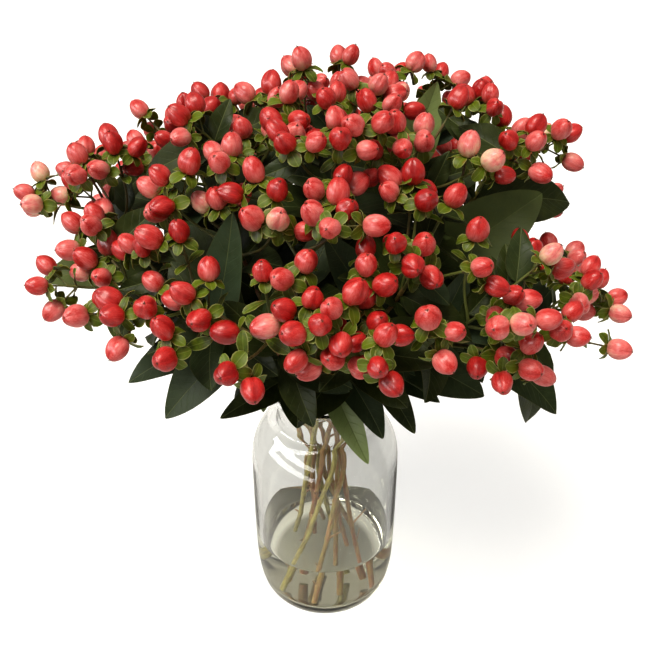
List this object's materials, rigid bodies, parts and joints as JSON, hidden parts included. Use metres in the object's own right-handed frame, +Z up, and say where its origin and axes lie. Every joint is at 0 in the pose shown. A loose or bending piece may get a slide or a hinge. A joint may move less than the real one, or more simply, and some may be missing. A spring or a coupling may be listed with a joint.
{
  "type": "hypericum berry stems in a glass vase",
  "caption": "Full bunch of cut hypericum stems with coral berries and dark green leaves, standing in water in a clear shouldered glass vase.",
  "frame": {"origin": "centre of the vase's flat foot, on the surface it stands on", "axes": "+Z up through the vase, -Y towards the front of the bunch, +X to its right"},
  "size_m": [0.4103, 0.3859, 0.4767],
  "materials": {
    "vase_glass": "clear, smooth, polished",
    "water": null,
    "foliage": null,
    "berries": null
  },
  "bodies": {
    "root": {"vase": "vase_glass", "water": "water", "stem_01": "foliage", "stem_02": "foliage", "stem_03": "foliage", "stem_04": "foliage", "stem_05": "foliage", "stem_06": "foliage", "stem_07": "foliage", "stem_08": "foliage", "stem_09": "foliage", "stem_10": "foliage", "stem_11": "foliage", "spray_01": "berries", "spray_02": "berries", "spray_03": "berries", "spray_04": "berries", "spray_05": "berries", "spray_06": "berries", "spray_07": "berries", "spray_08": "berries", "spray_09": "berries", "spray_10": "berries", "spray_11": "berries", "spray_12": "berries", "spray_13": "berries", "spray_14": "berries", "spray_15": "berries", "spray_16": "berries", "spray_17": "berries", "spray_18": "berries", "spray_19": "berries", "spray_20": "berries", "spray_21": "berries", "spray_22": "berries"}
  },
  "joints": []
}
